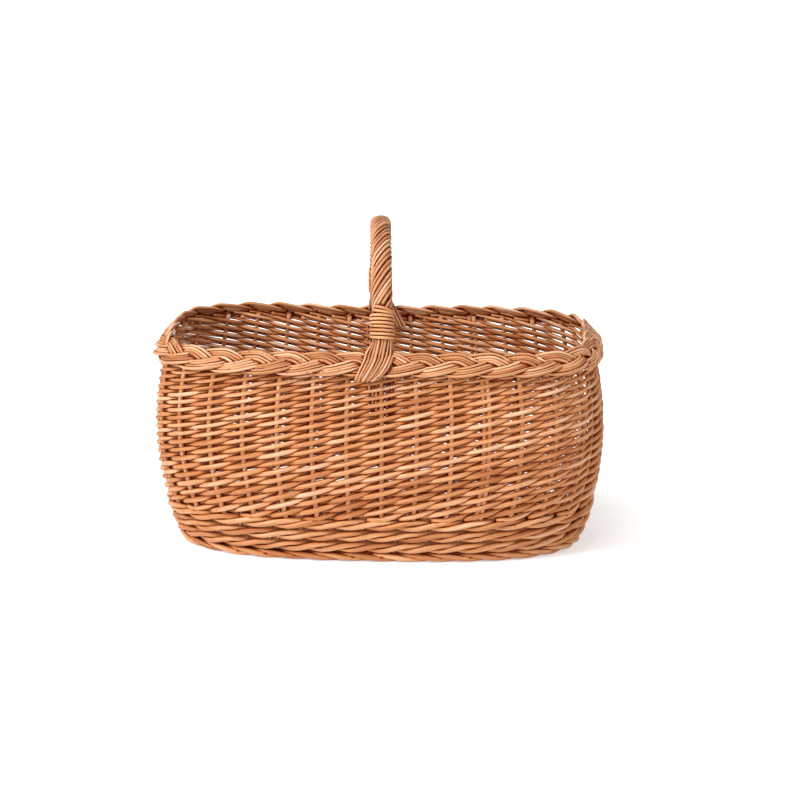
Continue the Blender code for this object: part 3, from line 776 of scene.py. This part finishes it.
bundle = new_bundle()
plait_steps = round((PLAIT_ROD_MARKS + PLAIT_END_LAP) * PLAIT_STEPS)
for strand in range(PLAIT_STRANDS):
    for rod in range(PLAIT_RODS):
        beside = rod - (PLAIT_RODS - 1) / 2
        for start in range(PLAIT_MARKS_A_STAKE * STAKES // PLAIT_ROD_MARKS):
            first = PLAIT_ROD_MARKS * start + PLAIT_ROD_LATER * rod + PLAIT_END_MARK
            slip = dice.uniform(-PLAIT_SLIP, PLAIT_SLIP)
            path = []
            for step in range(plait_steps + 1):
                path.append(strand_place(strand, first + step / PLAIT_STEPS, beside + slip))
            stout = dice.uniform(*PLAIT_STOUTNESS)
            lay_rod(bundle, path, [PLAIT_ROD_RADIUS * stout] * len(path), PLAIT_WANDER)
strand_nodes = [f"plait_strand_{k + 1}" for k in range(PLAIT_STRANDS)]
tie_bundle(bundle, "plait_rods", plait_willow, "plait_willow", *strand_nodes)

# Handle bow. One stout rod is bent over the middle of the basket, and its thinned ends are pushed
# down into the weave beside two stakes.
BOW_FOOT_INSET = 0.0056
BOW_RADIUS = 0.005
BOW_TIP_RADIUS = 0.0025
BOW_TIP_HEIGHT = 0.112
BOW_TAPER = (0.010, 0.026)
BOW_SAMPLES = 160
BOW_ARCH_RINGS = 60
BOW_LEG_RINGS = 8
HANDLE_ROD_SIDES = 12
ROPE_RADIUS = 0.0102

rope_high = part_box("handle_rope")[1][2]
bow_foot = at_wall(0, PLAIT_HEIGHT, -BOW_FOOT_INSET)
bow_side = Vector((0, 0, 1)).cross(bow_foot).normalized()
bow_rise = rope_high - ROPE_RADIUS - PLAIT_HEIGHT
arch = []
for step in range(BOW_SAMPLES + 1):
    angle = math.pi * step / BOW_SAMPLES
    arch.append(bow_foot * math.cos(angle))
    arch[-1].z = PLAIT_HEIGHT + bow_rise * math.sin(angle)
arch_lengths = [0.0]
for before, here in zip(arch, arch[1:]):
    arch_lengths.append(arch_lengths[-1] + (here - before).length)
arch_length = arch_lengths[-1]
arch_lines = [[place[k] for place in arch] for k in range(3)]


def on_arch(distance):
    """The bow's middle line, at that distance along its arch from the front."""
    return Vector([float(np.interp(distance, arch_lengths, line)) for line in arch_lines])


def arch_out(distance):
    """The direction square to the bow that points away from the basket's middle."""
    step = arch_length / BOW_SAMPLES
    ahead = on_arch(min(distance + step, arch_length)) - on_arch(max(distance - step, 0))
    return bow_side.cross(ahead).normalized()


def round_bow(distance, angle, radius):
    """A place beside the bow: angle 0 is on its side, and a quarter turn on its outer face."""
    return on_arch(distance) + (bow_side * math.cos(angle) + arch_out(distance) * math.sin(angle)) * radius


bundle = new_bundle()
leg_length = PLAIT_HEIGHT - BOW_TIP_HEIGHT
leg_heights = [BOW_TIP_HEIGHT + leg_length * k / BOW_LEG_RINGS for k in range(BOW_LEG_RINGS)]
path = [at_wall(0, height, -BOW_FOOT_INSET) for height in leg_heights]
radii = [BOW_TIP_RADIUS] * len(path)
for distance in np.linspace(0, arch_length, BOW_ARCH_RINGS):
    above = min(distance, arch_length - distance)
    share = min(max((above - BOW_TAPER[0]) / (BOW_TAPER[1] - BOW_TAPER[0]), 0), 1)
    path.append(on_arch(distance))
    radii.append(BOW_TIP_RADIUS + (BOW_RADIUS - BOW_TIP_RADIUS) * share)
path += [at_wall(STAKES / 2, height, -BOW_FOOT_INSET) for height in reversed(leg_heights)]
radii += [BOW_TIP_RADIUS] * len(leg_heights)
lay_rod(bundle, path, radii, wander=0, sides=HANDLE_ROD_SIDES)
tie_bundle(bundle, "handle_bow", stake_willow, "stake_willow", "bow")

# Handle rope. Thirteen thin rods are laid round the bow in long turns from one binding to the
# other. They lie at uneven distances, with deep gaps that show dark between some of them.
ROPE_RODS = 13
ROPE_ROD_RADIUS = 0.00158
ROPE_STOUTNESS = (0.9, 1.08)
ROPE_UNEVENNESS = 0.16
ROPE_LEAD = 0.088
ROPE_SQUARENESS = 2.7
ROPE_POINTS = 90
ROPE_HELD = 0.004
ROPE_WANDER = 0.0005
NECK_LENGTH = 0.020
NECK_RADIUS = 0.0072
ROPE_FLARE = 0.014
BINDING_STARTS = (0.0215, 0.0265)

# The rope's rods take more painted shade in their nooks than the wall's rods, so that the gaps between
# them show darker.
handle_willow = willow(
    "handle_willow",
    pale=(0.77, 0.46, 0.29),
    ripe=(0.60, 0.275, 0.125),
    deep=(0.35, 0.108, 0.035),
    coat=0.2,
    nook_shade_share=1.35,
)


def eased(share):
    """A share that starts and ends its way slowly."""
    return share * share * (3 - 2 * share)


bundle = new_bundle()
for rod in range(ROPE_RODS):
    at_angle = 2 * math.pi * (rod + dice.uniform(-ROPE_UNEVENNESS, ROPE_UNEVENNESS)) / ROPE_RODS
    stout = dice.uniform(*ROPE_STOUTNESS)
    path = []
    start = BINDING_STARTS[0] + ROPE_HELD
    end = arch_length - BINDING_STARTS[1] - ROPE_HELD
    for step in range(ROPE_POINTS + 1):
        distance = start + (end - start) * step / ROPE_POINTS
        above_front = distance - BINDING_STARTS[0]
        above_back = arch_length - distance - BINDING_STARTS[1]
        past_neck = min(above_front, above_back) - NECK_LENGTH
        flare = eased(min(max(past_neck / ROPE_FLARE, 0), 1))
        radius = NECK_RADIUS + (ROPE_RADIUS - ROPE_ROD_RADIUS - NECK_RADIUS) * flare
        angle = at_angle - 2 * math.pi * distance / ROPE_LEAD
        cornered = abs(math.cos(angle)) ** ROPE_SQUARENESS + abs(math.sin(angle)) ** ROPE_SQUARENESS
        radius *= cornered ** (-1 / ROPE_SQUARENESS)
        path.append(round_bow(distance, angle, radius))
    lay_rod(bundle, path, [ROPE_ROD_RADIUS * stout] * len(path), ROPE_WANDER, sides=HANDLE_ROD_SIDES)
tie_bundle(bundle, "rope_rods", handle_willow, "handle_willow", "handle_rope")

# Bindings. At each end of the rope a thin rod is wound round it in seven close turns, and its tail
# climbs on in two slanting turns and is tucked in.
BINDING_TURNS = 7
BINDING_RADIUS = 0.0015
BINDING_PITCH = 0.0033
BINDING_REACH = 0.0104
BINDING_LOOP_POINTS = 28
BINDING_TONE = 0.15
BINDING_WANDER = 0.0003
TAIL_TURNS = 2
TAIL_START_TURNS = 0.5
TAIL_PITCH = 0.0031
TAIL_SLANT = 0.0022
TAIL_DIVE = 0.0036
TAIL_DIVE_TURN = math.radians(25)

binding_willow = willow(
    "binding_willow",
    pale=(0.84, 0.47, 0.25),
    ripe=(0.66, 0.29, 0.12),
    deep=(0.39, 0.125, 0.04),
    coat=0.2,
    nook_shade_share=1.25,
)


def at_front(place):
    """The same place, for the handle's front end."""
    return place


def at_back(place):
    """The same place at the back of the basket, half a turn round."""
    return Vector((-place.x, -place.y, place.z))


HANDLE_ENDS = (("front", at_front, BINDING_STARTS[0]), ("back", at_back, BINDING_STARTS[1]))

for end, turned, binding_start in HANDLE_ENDS:
    bundle = new_bundle()
    path = []
    for step in range((BINDING_TURNS + TAIL_TURNS) * BINDING_LOOP_POINTS + 1):
        turn = step / BINDING_LOOP_POINTS
        tail = max(turn - BINDING_TURNS, 0)
        in_tail = min(tail / TAIL_START_TURNS, 1)
        wound = BINDING_PITCH * min(turn, BINDING_TURNS) + TAIL_PITCH * tail
        angle = 2 * math.pi * turn
        slant = TAIL_SLANT * math.cos(angle) * in_tail
        dive = TAIL_DIVE * max(-math.cos(angle - TAIL_DIVE_TURN), 0) * in_tail
        distance = binding_start + BINDING_RADIUS + wound - slant
        path.append(turned(round_bow(distance, angle, BINDING_REACH - dive)))
    lay_rod(bundle, path, [BINDING_RADIUS] * len(path), BINDING_WANDER, rod_tone=BINDING_TONE)
    tie_bundle(bundle, f"binding_rod_{end}", binding_willow, "binding_willow", f"binding_{end}")

# Fans. Below each binding the rope's rods spread out: nine go over the plait, sweep sideways and
# are tucked in below it, and seven go down inside the wall and are cut off in a row.
OUTER_FAN_RODS = 9
INNER_FAN_RODS = 7
FAN_ROD_RADIUS = 0.0015
FAN_STOUTNESS = (0.92, 1.06)
FAN_NECK_REACH = 0.0084
FAN_HALF_ANGLE = math.radians(82)
FAN_WIDE = 0.0126
FAN_CLOSED = 0.0080
FAN_CLOSE_FROM = 1 / 3
FAN_SLANT_START = -0.0018
FAN_SLANT = -0.0160
FAN_BUNCH = 0.0013
FAN_SPAN = (math.radians(116), math.radians(-32))
FAN_MARKS = 7
FAN_STEPS = 5
FAN_HOLD = 0.0045
FAN_START_BELOW = 0.002
FAN_CLEARANCE = 0.0004
FAN_TUCK = 0.003
OUTER_FAN_WANDER = 0.0004
BAND_HALF = PLAIT_SWING + 2 * PLAIT_ROD_STEP
BAND_THICK = PLAIT_LIFT + 2 * PLAIT_ROD_RADIUS
INNER_FAN_MARKS = 3
INNER_FAN_HALF_WIDTH = 0.0110
INNER_FAN_END_ABOVE = 0.0035
INNER_FAN_UNEVENNESS = 0.0008
INNER_FAN_INSET = 0.0128
INNER_FAN_WANDER = 0.0003

level_out = outward(0, PLAIT_HEIGHT)


def smooth_course(marks, count):
    """Places along one smooth course through the marks."""
    course = []
    for k in range(len(marks) - 1):
        near = [marks[min(max(k + j, 0), len(marks) - 1)] for j in (-1, 0, 1, 2)]
        course += [between(*near, step / count) for step in range(count)]
    return course + [marks[-1]]


def lay_fan_rod(bundle, marks, turned, wander):
    """Lays one of a fan's rods through its marks, at the front or turned to the back."""
    path = [turned(place) for place in smooth_course(marks, FAN_STEPS)]
    radius = FAN_ROD_RADIUS * dice.uniform(*FAN_STOUTNESS)
    lay_rod(bundle, path, [radius] * len(path), wander)


for end, turned, binding_start in HANDLE_ENDS:
    neck = (binding_start + FAN_HOLD, binding_start - FAN_START_BELOW)
    bundle = new_bundle()
    for rod in range(OUTER_FAN_RODS):
        across = 2 * rod / (OUTER_FAN_RODS - 1) - 1
        lean = across * FAN_HALF_ANGLE
        marks = [round_bow(distance, math.pi / 2 - lean, FAN_NECK_REACH) for distance in neck]
        for k in range(FAN_MARKS):
            share = k / (FAN_MARKS - 1)
            angle = FAN_SPAN[0] + (FAN_SPAN[1] - FAN_SPAN[0]) * share
            off = FAN_ROD_RADIUS + FAN_CLEARANCE + FAN_BUNCH * (rod % 2) * share
            sideways = (BAND_HALF + off) * math.cos(angle)
            place = on_plait(0, sideways, (BAND_THICK + off) * math.sin(angle))
            if k == FAN_MARKS - 1:
                place -= level_out * FAN_TUCK
            closing = max((share - FAN_CLOSE_FROM) / (1 - FAN_CLOSE_FROM), 0)
            width = FAN_WIDE + (FAN_CLOSED - FAN_WIDE) * eased(closing)
            slant = FAN_SLANT_START + (FAN_SLANT - FAN_SLANT_START) * eased(share)
            drop = (1 - math.cos(lean)) * FAN_NECK_REACH * (1 - share) ** 2
            marks.append(place + bow_side * (across * width + slant) - level_out * drop)
        lay_fan_rod(bundle, marks, turned, OUTER_FAN_WANDER)
    tie_bundle(bundle, f"outer_fan_rods_{end}", handle_willow, "handle_willow", f"outer_fan_{end}")
    bundle = new_bundle()
    for rod in range(INNER_FAN_RODS):
        across = 2 * rod / (INNER_FAN_RODS - 1) - 1
        lean = across * FAN_HALF_ANGLE
        marks = [round_bow(distance, -math.pi / 2 + lean, FAN_NECK_REACH) for distance in neck]
        top = marks[-1].copy()
        uneven = dice.uniform(-INNER_FAN_UNEVENNESS, INNER_FAN_UNEVENNESS)
        cut = at_wall(0, weave_high[2] + INNER_FAN_END_ABOVE + uneven, -INNER_FAN_INSET)
        cut += bow_side * (across * INNER_FAN_HALF_WIDTH + FAN_SLANT)
        for k in range(1, INNER_FAN_MARKS + 1):
            marks.append(top.lerp(cut, k / INNER_FAN_MARKS))
        lay_fan_rod(bundle, marks, turned, INNER_FAN_WANDER)
    tie_bundle(bundle, f"inner_fan_rods_{end}", handle_willow, "handle_willow", f"inner_fan_{end}")

# Tails of the fans. Six of the outer fan's rods run on down beside the stake, behind the outer
# rods of the side weave, and end one after another.
FAN_TAILS = (
    {"beside": -0.0117, "lowest": 0.172},
    {"beside": -0.0083, "lowest": 0.160},
    {"beside": -0.0050, "lowest": 0.150},
    {"beside": 0.0048, "lowest": 0.144},
    {"beside": 0.0096, "lowest": 0.152},
    {"beside": 0.0131, "lowest": 0.166},
)
FAN_TAIL_RADIUS = 0.0014
FAN_TAIL_POINTS = 12
FAN_TAIL_TOP = PLAIT_HEIGHT - 0.010
FAN_TAIL_FORWARD = 0.0006
FAN_TAIL_WANDER = 0.0003

bundle = new_bundle()
for turned in (at_front, at_back):
    for tail in FAN_TAILS:
        path = []
        for k in range(FAN_TAIL_POINTS + 1):
            height = FAN_TAIL_TOP + (tail["lowest"] - FAN_TAIL_TOP) * k / FAN_TAIL_POINTS
            path.append(turned(at_wall(0, height, FAN_TAIL_FORWARD) + bow_side * tail["beside"]))
        lay_rod(bundle, path, [FAN_TAIL_RADIUS] * len(path), FAN_TAIL_WANDER)
tie_bundle(bundle, "fan_tails", handle_willow, "handle_willow")

# Nooks: painted shade. Where rods press together, their colour is painted darker and redder, as shade
# would fall between them.
# Each corner of the rods is told how much of the space before it other rods close off.
NOOK_REACH = 0.012
NOOK_START = 0.0003
NOOK_RAYS = 12
GOLDEN_ANGLE = math.radians(137.5)

rays = []
for k in range(NOOK_RAYS):
    share = (k + 0.5) / NOOK_RAYS
    spin = k * GOLDEN_ANGLE
    spread = math.sqrt(share)
    rays.append(Vector((spread * math.cos(spin), spread * math.sin(spin), math.sqrt(1 - share))))
woven = [piece for piece in bpy.data.objects if piece.type == "MESH" and "lie" in piece.data.attributes]
corners = []
faces = []
for piece in woven:
    first = len(corners)
    corners += [corner.co.copy() for corner in piece.data.vertices]
    faces += [[first + k for k in face.vertices] for face in piece.data.polygons]
rods_all = BVHTree.FromPolygons(corners, faces)
for piece in woven:
    closed_off = []
    for corner in piece.data.vertices:
        facing = corner.normal.to_track_quat("Z", "Y")
        start = corner.co + corner.normal * NOOK_START
        hits = [rods_all.ray_cast(start, facing @ ray, NOOK_REACH)[3] for ray in rays]
        closed_off.append(sum(1 - hit / NOOK_REACH for hit in hits if hit is not None) / NOOK_RAYS)
    piece.data.attributes.new("nook", "FLOAT", "POINT").data.foreach_set("value", closed_off)
